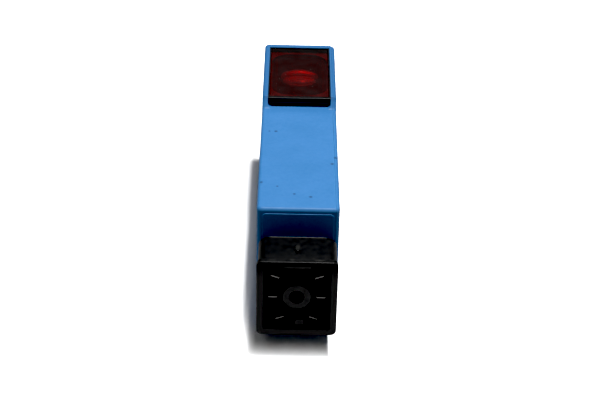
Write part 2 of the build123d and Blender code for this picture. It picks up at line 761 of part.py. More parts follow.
save(indicator_lamp(-1), "power_lamp")
save(indicator_lamp(1), "signal_lamp")
save(light_guide(-1), "power_light_guide")
save(light_guide(1), "signal_light_guide")

# ---------------------------------------------------------------- plug
socket_floor = mouth + socket_floor_from_mouth
carrier_front_plate = 1.6
seat = socket_floor + carrier_front_plate
seal_thickness = 0.35
neck_edge_round = 0.25
collar_middle = (collar_bottom + collar_top) / 2
neck_near = mouth + collar_thickness
neck_far = pad_face - seal_thickness
neck_middle = (neck_bottom + neck_top) / 2
spigot_end = end_face + 5.5
spigot_middle = (spigot_low + spigot_high) / 2
core_width = 11.6
core_height = 12.4
lug_width = 1.15
lug_length = 3.0
lug_height = 0.35
lug_from_mouth = 5.5

with BuildPart() as plug_body:
    with BuildSketch(across(neck_far)):
        with Locations((0, neck_middle)):
            RectangleRounded(neck_width, neck_top - neck_bottom, neck_corner)
    extrude(amount=neck_far - neck_near)
    fillet(plug_body.faces().sort_by(Axis.Y)[-1].edges(), neck_edge_round)
    with BuildSketch(across(spigot_end)):
        with Locations((0, spigot_middle)):
            RectangleRounded(2 * spigot_half_width, spigot_high - spigot_low, 0.8)
    extrude(amount=spigot_end - neck_far)
    # the socket, then the smaller passage for the back of the contact carrier
    with BuildSketch(across(seat)):
        with Locations((0, socket_centre_height)):
            RectangleRounded(socket_width, socket_height, 0.6)
    extrude(amount=seat - neck_near + 1, mode=Mode.SUBTRACT)
    block((-core_width / 2 - 0.03, core_width / 2 + 0.03), (seat - 1, spigot_end + 1),
          (contact_centre_height - core_height / 2 - 0.03,
           contact_centre_height + core_height / 2 + 0.03), mode=Mode.SUBTRACT)
    # raised lug on the lens side
    with BuildSketch(Plane.XY.offset(neck_top - 0.5)):
        with Locations((0, mouth + lug_from_mouth)):
            SlotOverall(lug_length, lug_width, rotation=90)
    extrude(amount=0.5 + lug_height)
    fillet(plug_body.faces().sort_by(Axis.Z)[-1].edges(), 0.15)
    # latch ridges that catch behind the housing's end wall
    for low, high in ((spigot_low - 0.5, spigot_low + 0.3), (spigot_high - 0.3, spigot_high + 0.5)):
        block((-4, 4), (inner_near + 0.1, inner_near + 1.3), (low, high))
save(plug_body.part, "plug_body")

with BuildPart() as plug_seal:
    with BuildSketch(across(pad_face)):
        with Locations((0, neck_middle)):
            RectangleRounded(end_pad_width - 0.4, neck_top - neck_bottom - 0.4, neck_corner)
        with Locations((0, spigot_middle)):
            RectangleRounded(2 * spigot_half_width + 0.1, spigot_high - spigot_low + 0.1, 0.8,
                             mode=Mode.SUBTRACT)
    extrude(amount=seal_thickness)
save(plug_seal.part, "plug_seal")

collar_corner = 1.2
with BuildPart() as plug_collar:
    with BuildSketch(across(neck_near)):
        with Locations((0, collar_middle)):
            RectangleRounded(collar_width, collar_top - collar_bottom, collar_corner)
    extrude(amount=collar_thickness)
    fillet(plug_collar.faces().sort_by(Axis.Y)[0].edges(), 0.2)
    with BuildSketch(across(neck_near)):
        with Locations((0, socket_centre_height)):
            RectangleRounded(socket_width, socket_height, 0.6)
    extrude(amount=collar_thickness, mode=Mode.SUBTRACT)
save(plug_collar.part, "plug_collar")

# Blades stand in three rows of two round the boss: distance from the middle, height over the
# boss, and the tilt that turns the outer end of the upper pair up and of the lower pair down.
blade_rows = ((4.67, upper_row_rise, blade_tilt), (5.15, 0, 0),
              (3.61, -lower_row_drop, -blade_tilt))
blade_tip = mouth + blade_tip_from_mouth
blade_shoulder = socket_floor + 1.2
blade_end = end_face + 8.7
tail_width = 1.0
blade_fit = 0.02
blade_places = []
for offset, rise, tilt in blade_rows:
    for side in (-1, 1):
        blade_places.append((side * offset, contact_centre_height + rise, side * tilt))


def blade_profile(place, width, thickness):
    """The blade's tilted section, in the open sketch."""
    with Locations((place[0], place[1])):
        Rectangle(width, thickness, rotation=place[2])


boss_radius = 3.1
boss_hole_radius = 1.6
insert_radius = 2.2
insert_bore_radius = 1.25
insert_near = blade_tip + 3.0
insert_far = insert_near + 7.5
top_key_width = 5.6
top_key_height = 0.8
top_key_from_mouth = 0.4
low_key_offset = 0.6
low_key_base = 2.1
low_key_top = 1.5
low_key_height = 1.95
key_gap = 0.05

with BuildPart() as contact_carrier:
    fit = 0.04
    with BuildSketch(across(seat)):
        with Locations((0, socket_centre_height)):
            RectangleRounded(socket_width - 2 * fit, socket_height - 2 * fit, 0.6)
    extrude(amount=carrier_front_plate)
    block((-core_width / 2, core_width / 2), (seat, spigot_end),
          (contact_centre_height - core_height / 2, contact_centre_height + core_height / 2))
    rod_y(boss_radius, 0, (blade_tip, socket_floor), contact_centre_height)
    fillet(contact_carrier.faces().sort_by(Axis.Y)[0].edges(), 0.2)
    # wide key along the top wall
    socket_top = socket_centre_height + socket_height / 2
    socket_bottom = socket_centre_height - socket_height / 2
    block((-top_key_width / 2, top_key_width / 2), (mouth + top_key_from_mouth, socket_floor),
          (socket_top - top_key_height, socket_top - key_gap))
    # small tapered key along the bottom wall
    with BuildSketch(across(socket_floor)):
        with BuildLine():
            Polyline((low_key_offset - low_key_base / 2, socket_bottom + key_gap),
                     (low_key_offset + low_key_base / 2, socket_bottom + key_gap),
                     (low_key_offset + low_key_top / 2, socket_bottom + low_key_height),
                     (low_key_offset - low_key_top / 2, socket_bottom + low_key_height),
                     close=True)
        make_face()
    extrude(amount=socket_floor - mouth - 1.0)
    for place in blade_places:
        with BuildSketch(across(blade_shoulder)):
            blade_profile(place, blade_width + 2 * blade_fit, blade_thickness + 2 * blade_fit)
        extrude(amount=blade_shoulder - socket_floor + 1, mode=Mode.SUBTRACT)
        with BuildSketch(across(spigot_end + 1)):
            blade_profile(place, tail_width + 2 * blade_fit, blade_thickness + 2 * blade_fit)
        extrude(amount=spigot_end - blade_shoulder + 2, mode=Mode.SUBTRACT)
    rod_y(boss_hole_radius, 0, (blade_tip - 1, insert_near + 0.5), contact_centre_height,
          mode=Mode.SUBTRACT)
    rod_y(insert_radius + 0.02, 0, (insert_near, insert_far + 0.02), contact_centre_height,
          mode=Mode.SUBTRACT)
save(contact_carrier.part, "contact_carrier")

with BuildPart() as threaded_insert:
    rod_y(insert_radius, 0, (insert_near, insert_far), contact_centre_height)
    rod_y(insert_bore_radius, 0, (insert_near - 1, insert_far + 1), contact_centre_height,
          mode=Mode.SUBTRACT)
    chamfer(threaded_insert.faces().sort_by(Axis.Y)[0].edges()
            .filter_by(lambda edge: edge.radius < insert_radius), 0.3)
save(threaded_insert.part, "threaded_insert")

for number, place in enumerate(blade_places, start=1):
    with BuildPart() as contact_blade:
        with BuildSketch(across(blade_shoulder)):
            blade_profile(place, blade_width, blade_thickness)
        extrude(amount=blade_shoulder - blade_tip)
        chamfer(contact_blade.faces().sort_by(Axis.Y)[0].edges(), 0.15)
        with BuildSketch(across(blade_end)):
            blade_profile(place, tail_width, blade_thickness)
        extrude(amount=blade_end - blade_shoulder)
    save(contact_blade.part, f"contact_blade_{number}")

terminal_near = end_face + 7.0
terminal_far = terminal_near + board_thickness
with BuildPart() as terminal_board:
    block((-6.3, 6.3), (terminal_near, terminal_far), (7.4, 21.4))
    for place in blade_places:
        with BuildSketch(across(terminal_far + 1)):
            blade_profile(place, tail_width + 2 * hole_allowance,
                          blade_thickness + 2 * hole_allowance)
        extrude(amount=board_thickness + 2, mode=Mode.SUBTRACT)
    for pin_z in header_pin_heights:
        rod_y(lead_radius + hole_allowance, header_x, (terminal_near - 1, terminal_far + 1),
              pin_z, mode=Mode.SUBTRACT)
save(terminal_board.part, "terminal_board")

with BuildPart() as pin_header:
    block((header_x - 1, header_x + 1), (terminal_far, terminal_far + 1.8),
          (header_pin_heights[0] - 1, header_pin_heights[-1] + 1))
    for pin_z in header_pin_heights:
        rod_y(lead_radius + 0.02, header_x, (terminal_far - 1, terminal_far + 3), pin_z,
              mode=Mode.SUBTRACT)
save(pin_header.part, "pin_header")

with BuildPart() as header_pins:
    for pin_z in header_pin_heights:
        rod_y(lead_radius, header_x, (terminal_near - 0.5, header_pins_y + lead_radius), pin_z)
        rod_x(lead_radius, (board_left - 0.4, header_x), header_pins_y, pin_z)
save(header_pins.part, "header_pins")

thread_length = insert_far - insert_near
print(f"sensor {housing_width} x {far_face - mouth:.1f} x {housing_depth} mm")
print(f"end face y {end_face:.3f}, far face y {far_face:.3f}, mouth y {mouth:.3f}")
print(f"threaded insert y {insert_near:.2f} to {insert_far:.2f}, {thread_length:.1f} long")
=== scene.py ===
import math

import bmesh
import bpy
from mathutils import Matrix, Vector


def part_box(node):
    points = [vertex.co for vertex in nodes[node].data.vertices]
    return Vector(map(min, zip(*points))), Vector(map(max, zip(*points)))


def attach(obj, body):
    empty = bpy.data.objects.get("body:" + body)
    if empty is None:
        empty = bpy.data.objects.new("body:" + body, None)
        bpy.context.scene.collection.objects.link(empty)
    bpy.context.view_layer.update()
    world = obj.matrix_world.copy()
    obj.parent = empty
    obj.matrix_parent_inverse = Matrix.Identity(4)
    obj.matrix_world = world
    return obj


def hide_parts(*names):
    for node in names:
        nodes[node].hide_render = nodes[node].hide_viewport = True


# Looks for a slim photoelectric sensor, built round its CAD model. Metres; X runs across the
# width, Y from the plug to the lens end, Z out of the lens face.

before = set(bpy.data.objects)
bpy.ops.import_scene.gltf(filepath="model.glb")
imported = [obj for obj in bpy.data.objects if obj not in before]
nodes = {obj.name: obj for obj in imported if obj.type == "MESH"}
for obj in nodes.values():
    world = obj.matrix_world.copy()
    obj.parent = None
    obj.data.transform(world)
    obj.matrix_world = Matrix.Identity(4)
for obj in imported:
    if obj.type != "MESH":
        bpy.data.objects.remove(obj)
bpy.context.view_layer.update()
MM = 0.001

shell_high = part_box("housing_shell")[1]
collar_low, collar_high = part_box("plug_collar")
blades = [name for name in nodes if name.startswith("contact_blade_")]


# ---------------------------------------------------------------- shader helpers
class Look:
    """One node material: a Principled shader and short calls for what feeds it."""

    def __init__(self, name, colour, roughness, metallic=0.0):
        self.material = bpy.data.materials.new(name)
        self.material.use_nodes = True
        tree = self.material.node_tree
        self.nodes = tree.nodes
        self.links = tree.links
        self.shader = self.nodes["Principled BSDF"]
        self.output = self.nodes["Material Output"]
        self.set("Base Color", (*colour, 1))
        self.set("Roughness", roughness)
        self.set("Metallic", metallic)
        self.place = self.nodes.new("ShaderNodeTexCoord").outputs["Object"]

    def set(self, socket, value):
        self.shader.inputs[socket].default_value = value

    def join(self, output, target):
        if isinstance(target, str):
            target = self.shader.inputs[target]
        self.links.new(output, target)

    def along(self, axis):
        """The object's own coordinate along X, Y or Z."""
        split = self.nodes.new("ShaderNodeSeparateXYZ")
        self.join(self.place, split.inputs[0])
        return split.outputs[axis]

    def stretched(self, scale):
        """The object's coordinates, scaled along each axis."""
        mapping = self.nodes.new("ShaderNodeMapping")
        mapping.inputs["Scale"].default_value = scale
        self.join(self.place, mapping.inputs["Vector"])
        return mapping.outputs["Vector"]

    def noise(self, size, detail=2.0, roughness=0.5, stretch=None):
        """Noise with features of about the given size in metres."""
        node = self.nodes.new("ShaderNodeTexNoise")
        node.inputs["Scale"].default_value = 1 / size
        node.inputs["Detail"].default_value = detail
        node.inputs["Roughness"].default_value = roughness
        source = self.stretched(stretch) if stretch else self.place
        self.join(source, node.inputs["Vector"])
        return node.outputs["Fac"]

    def specks(self, size, randomness):
        """Distance to scattered points, about the given size in metres apart."""
        node = self.nodes.new("ShaderNodeTexVoronoi")
        node.inputs["Scale"].default_value = 1 / size
        node.inputs["Randomness"].default_value = randomness
        self.join(self.place, node.inputs["Vector"])
        return node.outputs["Distance"]

    def span(self, value, low, high, to_low=0.0, to_high=1.0):
        """The value's range from low to high, stretched onto a new range and held there."""
        node = self.nodes.new("ShaderNodeMapRange")
        node.inputs["From Min"].default_value = low
        node.inputs["From Max"].default_value = high
        node.inputs["To Min"].default_value = to_low
        node.inputs["To Max"].default_value = to_high
        self.join(value, node.inputs["Value"])
        return node.outputs["Result"]

    def maths(self, operation, first, second=0.0):
        """One step of arithmetic on sockets or numbers; some steps use only the first."""
        node = self.nodes.new("ShaderNodeMath")
        node.operation = operation
        for socket, value in zip(node.inputs, (first, second)):
            if isinstance(value, (int, float)):
                socket.default_value = value
            else:
                self.join(value, socket)
        return node.outputs["Value"]

    def vector_maths(self, operation, first, second, output="Vector"):
        """One step of vector arithmetic; the second value may be a socket or three numbers."""
        node = self.nodes.new("ShaderNodeVectorMath")
        node.operation = operation
        self.join(first, node.inputs[0])
        if isinstance(second, tuple):
            node.inputs[1].default_value = second
        else:
            self.join(second, node.inputs[1])
        return node.outputs[output]

    def blend(self, factor, first, second):
        """Two colours mixed by a factor; either may be a socket or three numbers."""
        node = self.nodes.new("ShaderNodeMix")
        node.data_type = "RGBA"
        sockets = [s for s in node.inputs if s.enabled and s.type == "RGBA"]
        amount = next(s for s in node.inputs if s.enabled and s.type == "VALUE")
        self.join(factor, amount)
        for socket, value in zip(sockets, (first, second)):
            if isinstance(value, tuple):
                socket.default_value = (*value, 1)
            else:
                self.join(value, socket)
        return next(s for s in node.outputs if s.enabled and s.type == "RGBA")

    def edges(self, radius):
        """Nearly 1 on flat faces, and less within the radius of a convex or concave edge."""
        bevel = self.nodes.new("ShaderNodeBevel")
        bevel.samples = 6
        bevel.inputs["Radius"].default_value = radius
        geometry = self.nodes.new("ShaderNodeNewGeometry")
        return self.vector_maths("DOT_PRODUCT", bevel.outputs["Normal"],
                                 geometry.outputs["Normal"], "Value")

    def patch(self, across, along, wide, long, strength):
        """A soft oval patch at a place in X and Y, worth its strength in the middle."""
        shifted = self.vector_maths("SUBTRACT", self.place, (across, along, 0))
        scaled = self.vector_maths("MULTIPLY", shifted, (1 / wide, 1 / long, 0))
        away = self.vector_maths("LENGTH", scaled, (0, 0, 0), "Value")
        return self.span(away, 0.6, 1.3, strength, 0.0)

    def dial(self, height, first, last, spacing):
        """Ticks round a control on the far face: angles in degrees, clockwise seen from outside."""
        inner = 2.5 * MM
        outer = 3.15 * MM
        half_width = 0.11 * MM
        soft_edge = 0.05 * MM
        spare_angle = 2
        face_depth = 0.1 * MM
        across = self.maths("MULTIPLY", self.along("X"), -1.0)
        up = self.maths("SUBTRACT", self.along("Z"), height)
        turn = self.maths("MULTIPLY", self.maths("ARCTAN2", across, up), 180 / math.pi)
        away = self.maths("SQRT", self.maths("ADD", self.maths("POWER", across, 2.0),
                                             self.maths("POWER", up, 2.0)))
        steps = self.maths("DIVIDE", self.maths("SUBTRACT", turn, first), spacing)
        off = self.maths("ABSOLUTE", self.maths("SUBTRACT", steps, self.maths("ROUND", steps)))
        gap = self.maths("MULTIPLY", self.maths("MULTIPLY", off, math.radians(spacing)), away)
        mask = self.span(gap, half_width, half_width + soft_edge, 1.0, 0.0)
        for value, low, high in ((away, inner, outer),
                                 (turn, first - spare_angle, last + spare_angle)):
            mask = self.maths("MULTIPLY", mask, self.maths("GREATER_THAN", value, low))
            mask = self.maths("MULTIPLY", mask, self.maths("LESS_THAN", value, high))
        outside = self.maths("GREATER_THAN", self.along("Y"), shell_high[1] - face_depth)
        return self.maths("MULTIPLY", mask, outside)

    def bump(self, height, depth, strength=1.0, under=None):
        """A bump of the given depth in metres; under is a bump that it lies on."""
        node = self.nodes.new("ShaderNodeBump")
        node.inputs["Distance"].default_value = depth
        node.inputs["Strength"].default_value = strength
        self.join(height, node.inputs["Height"])
        if under is not None:
            self.join(under, node.inputs["Normal"])
        return node.outputs["Normal"]


def dress(look, *names):
    """Give CAD nodes a finished material."""
    for name in names:
        mesh = nodes[name].data
        mesh.materials.clear()
        mesh.materials.append(look.material)


# ---------------------------------------------------------------- housing blue
head_rise = 2.4 * MM
front_height = shell_high[2] - head_rise
wear_marks = (
    # x, y and radius of small dark marks on the front, in millimetres from the origin
    (-5.3, 1.2, 0.24), (-6.8, 1.2, 0.16), (8.25, -10.6, 0.30), (7.4, -13.4, 0.26),
    (-8.1, -21.8, 0.26), (-4.6, -23.4, 0.18), (-0.9, -26.5, 0.20), (2.6, -27.6, 0.26),
)


def housing_look():
    """Blue moulded plastic, faintly clouded and worn, with painted highlights on its edges, painted
    shade on its raised head, and the controls' printed ticks.
    """
    look = Look("housing_blue", (0.044, 0.165, 0.378), 0.42)
    look.set("Specular IOR Level", 0.16)
    cloud = look.noise(6 * MM, detail=3.0)
    fine = look.noise(0.9 * MM, detail=3.0, roughness=0.6)
    base = look.blend(look.span(cloud, 0.3, 0.7), (0.040, 0.157, 0.363), (0.048, 0.172, 0.393))
    base = look.blend(look.span(fine, 0.35, 0.75, 0.0, 0.18), base, (0.032, 0.130, 0.305))
    # paler edges: partly rubbed wear, partly a painted highlight
    edge = look.span(look.edges(0.45 * MM), 0.995, 0.90)
    rub_and_highlight = look.maths("MULTIPLY", edge, look.span(look.noise(1.2 * MM, 3.0), 0.35, 0.6, 0.2, 0.8))
    base = look.blend(rub_and_highlight, base, (0.055, 0.20, 0.43))
    # small dark scuffs where the sensor has been handled
    for x, y, radius in wear_marks:
        gap = look.vector_maths("DISTANCE", look.place, (x * MM, y * MM, front_height), "Value")
        ripple = 0.25 * radius * MM
        wavy = look.maths("ADD", gap, look.span(fine, 0.3, 0.7, -ripple, ripple))
        mark = look.span(wavy, radius * MM, radius * 2.0 * MM, 0.75, 0.0)
        base = look.blend(mark, base, (0.018, 0.05, 0.11))
    # painted shade: the raised head round the window is painted darker, most at its top
    head_shade = look.span(look.along("Z"), front_height + 1.0 * MM, shell_high[2], 0.0, 0.8)
    base = look.blend(head_shade, base, (0.030, 0.112, 0.262))
    # printed ticks round the two controls: a scale, and the two ends of the selector's travel
    for name, first, last, spacing in (("sensitivity_adjuster", -135, 135, 27),
                                       ("light_dark_selector", -90, 0, 90)):
        low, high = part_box(name)
        ticks = look.dial((low[2] + high[2]) / 2, first, last, spacing)
        base = look.blend(ticks, base, (0.62, 0.64, 0.64))
    look.join(base, "Base Color")
    look.join(look.span(fine, 0.3, 0.7, 0.36, 0.5), "Roughness")
    grain = look.noise(0.16 * MM, detail=2.0)
    wave = look.noise(7 * MM, detail=1.0)
    rough = look.bump(grain, 0.012 * MM, 0.5)
    look.join(look.bump(wave, 0.05 * MM, 0.5, under=rough), "Normal")
    return look


def black_look(name, colour, roughness, grain_size, grain_depth, highlight_patches=(), highlight_height=0.0,
               rim=None):
    """Moulded black plastic with a fine texture, and paler edges that are partly rubbed wear and
    partly painted highlight.

    Highlight patches are pale patches painted on as highlights on the surfaces near the highlight
    height, and rim is where along Y the front rim lies, which is painted paler as painted light."""
    look = Look(name, colour, roughness)
    look.set("Specular IOR Level", 0.17)
    fine = look.noise(1.1 * MM, detail=3.0)
    # paler edges: partly rubbed wear, partly a painted highlight
    edge = look.span(look.edges(0.3 * MM), 0.995, 0.85)
    rub_and_highlight = look.maths("MULTIPLY", edge, look.span(fine, 0.35, 0.65, 0.2, 0.7))
    base = look.blend(look.span(fine, 0.3, 0.7), colour, tuple(1.5 * part for part in colour))
    base = look.blend(rub_and_highlight, base, tuple(3.0 * part for part in colour))
    if highlight_patches:
        # pale patches painted on as highlights where light catches the tops of the neck and collar
        on_top = look.span(look.along("Z"), highlight_height - 0.6 * MM, highlight_height - 0.2 * MM)
        for across, along, wide, long, strength in highlight_patches:
            spot = look.patch(across * MM, along * MM, wide * MM, long * MM, strength)
            base = look.blend(look.maths("MULTIPLY", spot, on_top), base, (0.07, 0.07, 0.065))
    if rim is not None:
        # painted light: the front rim is painted paler, standing in for light thrown up onto it,
        # and less so towards its top
        rim_light = look.span(look.along("Y"), rim + 0.1 * MM, rim + 0.3 * MM, 1.0, 0.0)
        below = look.span(look.along("Z"), collar_high[2] - 4.0 * MM, collar_high[2] - 0.6 * MM,
                          1.0, 0.3)
        base = look.blend(look.maths("MULTIPLY", rim_light, below), base, (0.036, 0.036, 0.0365))
    look.join(base, "Base Color")
    look.join(look.span(fine, 0.3, 0.7, roughness - 0.06, roughness + 0.08), "Roughness")
    grain = look.noise(grain_size, detail=2.0)
    look.join(look.bump(grain, grain_depth, 0.6), "Normal")
    return look


def frame_look(ledge_height):
    """The window frame's black, with a paler band on the ledge under the pane."""
    look = black_look("window_black", (0.010, 0.010, 0.0105), 0.38, 0.14 * MM, 0.006 * MM)
    above = look.maths("SUBTRACT", look.along("Z"), ledge_height)
    ledge_band = look.span(look.maths("ABSOLUTE", above), 0.06 * MM, 0.10 * MM, 1.0, 0.0)
    wavy = look.maths("MULTIPLY", ledge_band, look.span(look.noise(1.4 * MM, 3.0), 0.3, 0.6, 0.7, 1.0))
    plain = look.shader.inputs["Base Color"].links[0].from_socket
    look.join(look.blend(wavy, plain, (0.10, 0.09, 0.08)), "Base Color")
    return look


def metal_look(name, colour, roughness, stretch=(1, 1, 1)):
    """Plated metal with fine drawn lines and faint dulling."""
    look = Look(name, colour, roughness, metallic=1.0)
    lines = look.noise(0.25 * MM, detail=2.0, stretch=stretch)
    cloud = look.noise(1.5 * MM, detail=2.0)
    look.join(look.blend(look.span(cloud, 0.3, 0.7, 0.0, 0.5), colour,
                         tuple(0.6 * part for part in colour)), "Base Color")
    look.join(look.span(lines, 0.3, 0.7, roughness - 0.08, roughness + 0.12), "Roughness")
    look.join(look.bump(lines, 0.006 * MM, 0.5), "Normal")
    return look


def clear_look(name, tint, haze=0.0, haze_colour=(0.5, 0.5, 0.5), painted_glints=()):
    """A thin clear piece: tinted see-through, a shiny surface, a little haze, and patches painted
    in as highlights and shade.
    """
    look = Look(name, haze_colour, 0.5)
    see_through = look.nodes.new("ShaderNodeBsdfTransparent")
    see_through.inputs["Color"].default_value = (*tint, 1)
    shine = look.nodes.new("ShaderNodeBsdfGlossy")
    smear = look.noise(3 * MM, detail=3.0)
    look.join(look.span(smear, 0.3, 0.7, 0.03, 0.08), shine.inputs["Roughness"])
    facing = look.nodes.new("ShaderNodeLayerWeight")
    facing.inputs["Blend"].default_value = 0.5
    glance = look.maths("POWER", facing.outputs["Facing"], 5.0)
    gloss = look.span(glance, 0.0, 1.0, 0.04, 1.0)
    body = look.nodes.new("ShaderNodeMixShader")
    cloud = look.span(smear, 0.3, 0.7, haze * 0.85, haze * 1.15)
    # patches painted in as highlights, and as shade where negative
    for across, along, wide, long, extra in painted_glints:
        cloud = look.maths("ADD", cloud, look.patch(across, along, wide, long, extra))
    look.join(cloud, body.inputs[0])
    look.join(see_through.outputs[0], body.inputs[1])
    look.join(look.shader.outputs[0], body.inputs[2])
    surface = look.nodes.new("ShaderNodeMixShader")
    look.join(gloss, surface.inputs[0])
    look.join(body.outputs[0], surface.inputs[1])
    look.join(shine.outputs[0], surface.inputs[2])
    look.join(surface.outputs[0], look.output.inputs["Surface"])
    return look


def board_look():
    """Green solder resist with paler tracks showing through."""
    look = Look("board_green", (0.03, 0.17, 0.07), 0.4)
    tracks = look.specks(1.6 * MM, randomness=0.4)
    look.join(look.blend(look.span(tracks, 0.28, 0.34), (0.05, 0.25, 0.10), (0.022, 0.14, 0.06)),
              "Base Color")
    look.join(look.bump(look.span(tracks, 0.28, 0.34, 1.0, 0.0), 0.03 * MM), "Normal")
    return look


def plain_look(name, colour, roughness):
    """A moulded or sintered surface with faint variation."""
    look = Look(name, colour, roughness)
    fine = look.noise(0.8 * MM, detail=3.0)
    look.join(look.blend(look.span(fine, 0.3, 0.7), tuple(0.8 * part for part in colour),
                         tuple(min(1.0, 1.2 * part) for part in colour)), "Base Color")
    look.join(look.span(fine, 0.3, 0.7, roughness - 0.05, roughness + 0.08), "Roughness")
    look.join(look.bump(look.noise(0.12 * MM), 0.006 * MM, 0.5), "Normal")
    return look


dress(housing_look(), "housing_shell", "side_cover")
dress(black_look("frame_black", (0.010, 0.010, 0.0105), 0.38, 0.14 * MM, 0.006 * MM),
      "lens_retainer", "optics_carrier")
pane_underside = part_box("window_pane")[0][2]
dress(frame_look(pane_underside), "window_frame")
# painted highlights on the plug: a line at the neck's rear top edge, its lug, glints and a paler
# band at the collar's top edge
plug_highlight_patches = (
    # x, y, half width and half length in millimetres, and how pale it is
    (0.0, -32.9, 6.2, 0.30, 0.75), (0.0, -37.6, 0.5, 0.9, 0.22),
    (-1.1, -41.9, 0.5, 0.35, 0.30), (4.6, -42.1, 1.1, 0.25, 0.25), (3.3, -41.3, 0.3, 0.3, 0.2),
    (-5.2, -42.2, 0.9, 0.2, 0.2), (0.5, -41.0, 6.5, 1.4, 0.06),
)
neck_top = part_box("plug_body")[1][2]
dress(black_look("plug_black", (0.0082, 0.0082, 0.0082), 0.38, 0.16 * MM, 0.012 * MM,
                 plug_highlight_patches, neck_top, collar_low[1]), "plug_body", "plug_collar")
# the insert is a paler copy of the plug's black: painted light for the light thrown up onto its
# face
dress(black_look("insert_black", (0.034, 0.034, 0.0345), 0.38, 0.16 * MM, 0.01 * MM),
      "contact_carrier")
dress(clear_look("red_window", (0.80, 0.05, 0.04), haze=0.065, haze_colour=(0.19, 0.205, 0.205)),
      "window_pane")
lens_low, lens_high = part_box("front_lens")
lens_y = (lens_low[1] + lens_high[1]) / 2
lens_painted_glints = (
    # painted highlights and shade in the lens: its disc, a paler back half, a bright bar, two spots
    # and a darker bow
    (0.0, lens_y + 0.5 * MM, 3.9 * MM, 3.0 * MM, 0.19),
    (0.0, lens_y + 1.9 * MM, 3.9 * MM, 1.5 * MM, 0.20),
    (1.2 * MM, lens_y + 1.5 * MM, 2.4 * MM, 0.75 * MM, 0.40),
    (0.7 * MM, lens_y + 1.5 * MM, 0.9 * MM, 0.5 * MM, 0.30),
    (0.85 * MM, lens_y - 3.0 * MM, 0.55 * MM, 0.5 * MM, 0.45),
    (-0.3 * MM, lens_y - 0.5 * MM, 2.8 * MM, 0.6 * MM, -0.10),
)
dress(clear_look("lens_clear", (0.9, 0.85, 0.85), haze=0.03, haze_colour=(0.95, 0.75, 0.75),
                 painted_glints=lens_painted_glints), "front_lens")
dress(clear_look("filter_film", (0.45, 0.42, 0.45)), "polarising_filter")
dress(clear_look("splitter_glass", (0.7, 0.75, 0.7)), "beam_splitter")
dress(clear_look("led_epoxy", (0.9, 0.6, 0.6), haze=0.2, haze_colour=(0.9, 0.5, 0.5)),
      "emitter_led")
dress(clear_look("guide_clear", (0.9, 0.95, 0.9), haze=0.15, haze_colour=(0.8, 0.85, 0.8)),
      "power_light_guide", "signal_light_guide")
dress(plain_look("diode_epoxy", (0.02, 0.012, 0.02), 0.2), "receiver_photodiode")
dress(plain_look("seal_rubber", (0.022, 0.021, 0.018), 0.35), "window_seal", "control_seals")
# the plug seal is painted pale: a painted highlight for the light caught along the joint between
# plug and housing
dress(plain_look("plug_seal_highlight", (0.17, 0.16, 0.145), 0.25), "plug_seal")
dress(metal_look("contact_tin", (0.40, 0.40, 0.39), 0.4, stretch=(1, 0.1, 1)), *blades)
dress(metal_look("tinned_metal", (0.62, 0.62, 0.60), 0.3),
      "emitter_leads", "receiver_leads", "control_pins", "header_pins", "chip_leads")
dress(metal_look("shield_steel", (0.55, 0.56, 0.55), 0.3), "receiver_shield")
dress(metal_look("screw_steel", (0.55, 0.55, 0.52), 0.28), "board_screws", "optics_screws")
dress(metal_look("capacitor_sleeve", (0.6, 0.61, 0.63), 0.35), "filter_capacitor")
dress(metal_look("copper_wire", (0.62, 0.25, 0.10), 0.3, stretch=(8, 1, 1)), "choke_winding")
dress(board_look(), "main_board", "optics_board", "control_board", "terminal_board")
dress(plain_look("flex_amber", (0.42, 0.18, 0.03), 0.3), "board_flex")
dress(plain_look("header_black", (0.02, 0.02, 0.02), 0.5), "pin_header")
dress(plain_look("chip_epoxy", (0.025, 0.025, 0.028), 0.55),
      "control_chip", "output_transistors", "suppressor_diodes")
dress(plain_look("ferrite", (0.05, 0.05, 0.055), 0.6), "choke")
dress(plain_look("capacitor_ceramic", (0.35, 0.24, 0.14), 0.5), "chip_capacitors")
dress(plain_look("resistor_black", (0.02, 0.02, 0.022), 0.25), "chip_resistors")
dress(plain_look("control_case", (0.03, 0.06, 0.2), 0.35),
      "sensitivity_potentiometer", "light_dark_switch")
dress(plain_look("control_white", (0.62, 0.62, 0.58), 0.35),
      "sensitivity_adjuster", "light_dark_selector")
dress(plain_look("lamp_white", (0.7, 0.7, 0.65), 0.4), "power_lamp", "signal_lamp")


